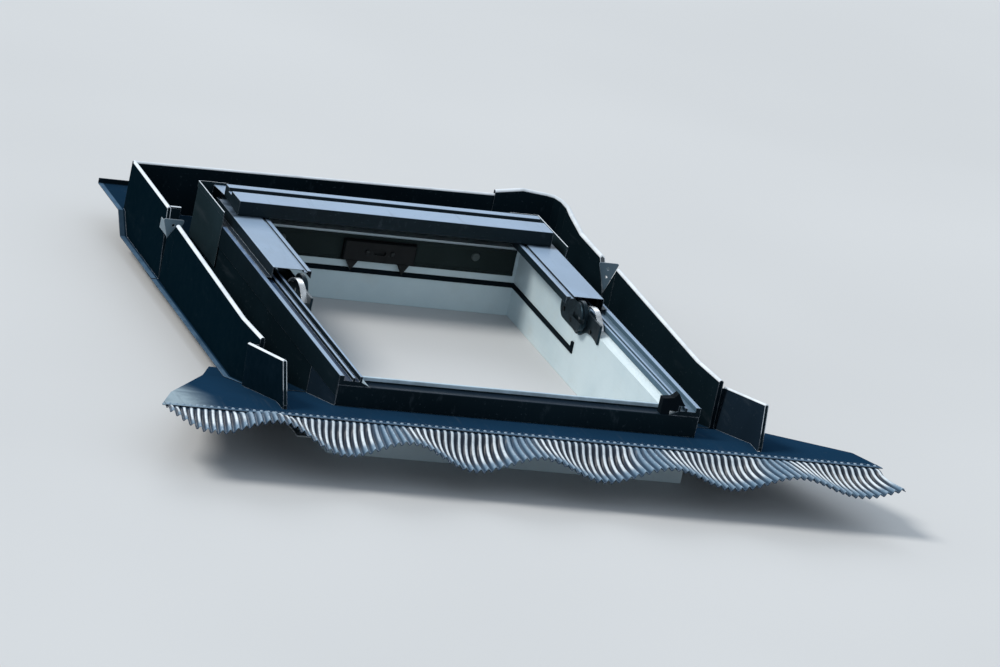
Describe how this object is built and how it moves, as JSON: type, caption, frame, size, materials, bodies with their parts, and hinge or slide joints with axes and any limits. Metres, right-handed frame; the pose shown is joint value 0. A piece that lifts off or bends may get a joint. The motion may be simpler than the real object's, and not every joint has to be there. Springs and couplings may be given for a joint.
{
  "type": "roof skylight",
  "caption": "Open frame of a centre-pivot roof window without its sash, with hood, side gutters, back gutter and an apron with a wavy pleated skirt.",
  "frame": {"origin": "centre of the window frame, in the plane of the fixing angles' feet, which stand on the roof battens", "axes": "+X along the eaves, to the right seen from outside; +Y up the slope; +Z out of the roof, square to it"},
  "size_m": [1.1124, 1.1268, 0.158],
  "materials": {
    "white_timber": "white paint, satin",
    "seal_rubber": "matt black",
    "trim_metal": "dark anodised, satin",
    "black_plastic": "black, matt",
    "cap_plastic": "grey, satin",
    "screw_steel": "bright zinc",
    "hinge_steel": "dull zinc, shaded",
    "bracket_steel": "galvanised",
    "cladding_metal": "dark blue-grey paint, satin",
    "flashing_metal": "dark blue-grey paint, satin, bare on the folds",
    "skirt_metal": "dark blue-grey paint, satin, bright on the pleats"
  },
  "bodies": {
    "frame_body": {"apron": "flashing_metal", "bracket_lower_left": "bracket_steel", "bracket_lower_right": "bracket_steel", "bracket_screws": "screw_steel", "bracket_upper_left": "bracket_steel", "bracket_upper_right": "bracket_steel", "cover_clips": "black_plastic", "cover_left": "cladding_metal", "cover_right": "cladding_metal", "flashing_clip_left": "bracket_steel", "flashing_clip_right": "bracket_steel", "frame_gasket": "seal_rubber", "frame_head": "white_timber", "frame_jamb_left": "white_timber", "frame_jamb_right": "white_timber", "frame_sill": "white_timber", "gutter_left": "flashing_metal", "gutter_right": "flashing_metal", "head_screw_caps": "cap_plastic", "head_trim": "trim_metal", "hinge_base_left": "hinge_steel", "hinge_base_right": "hinge_steel", "hinge_pin_left": "screw_steel", "hinge_pin_right": "screw_steel", "hinge_screws": "screw_steel", "hinge_spring_left": "screw_steel", "hinge_spring_right": "screw_steel", "hood": "cladding_metal", "hood_cheek_left": "cladding_metal", "hood_cheek_right": "cladding_metal", "jamb_cladding_left": "cladding_metal", "jamb_cladding_right": "cladding_metal", "lock_striker": "black_plastic", "pleated_skirt": "skirt_metal", "sill_cladding": "cladding_metal", "sill_corner_block": "seal_rubber", "striker_screws": "screw_steel", "top_flashing": "flashing_metal", "top_flashing_corner": "flashing_metal"},
    "shoe_left": {"hinge_shoe_left": "hinge_steel"},
    "shoe_right": {"hinge_shoe_right": "hinge_steel"}
  },
  "joints": [
    {"name": "hinge_left_turn", "type": "hinge", "parent": "frame_body", "child": "shoe_left", "pos_m": [-0.2195, 0, 0.09], "axis": [-1, 0, 0], "range_deg": [0, 160]},
    {"name": "hinge_right_turn", "type": "hinge", "parent": "frame_body", "child": "shoe_right", "pos_m": [0.2195, 0, 0.09], "axis": [-1, 0, 0], "range_deg": [0, 160]}
  ]
}
